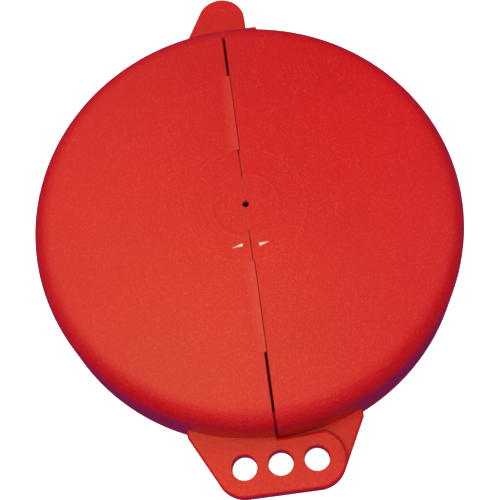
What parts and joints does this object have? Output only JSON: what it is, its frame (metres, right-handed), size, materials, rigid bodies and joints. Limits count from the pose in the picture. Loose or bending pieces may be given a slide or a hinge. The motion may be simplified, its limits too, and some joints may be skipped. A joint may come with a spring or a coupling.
{
  "type": "handwheel lockout cover",
  "caption": "Domed round plastic cover in two hinged halves that closes round a valve handwheel, with overlapping shackle plates and a break-out centre.",
  "frame": {"origin": "on the drum's axis, in the plane of its flat rear face, at the middle of the stem opening", "axes": "+Z along the drum's axis, out of the domed face; +Y towards the pivot ear; -Y towards the shackle plates; the seam between the halves lies in the YZ plane"},
  "size_m": [0.176, 0.2231, 0.0428],
  "materials": {
    "shell_plastic": "satin moulded polypropylene, red",
    "screw_steel": "zinc plated"
  },
  "bodies": {
    "left_half": {"left_shell": "shell_plastic", "left_knockout": "shell_plastic", "pivot_screw": "screw_steel", "pivot_washer": "screw_steel"},
    "right_half": {"right_shell": "shell_plastic", "right_knockout": "shell_plastic"}
  },
  "joints": [
    {"name": "half_pivot", "type": "hinge", "parent": "left_half", "child": "right_half", "pos_m": [0, 0.1025, 0.0105], "axis": [0, 0, 1], "range_deg": [0, 180]}
  ]
}
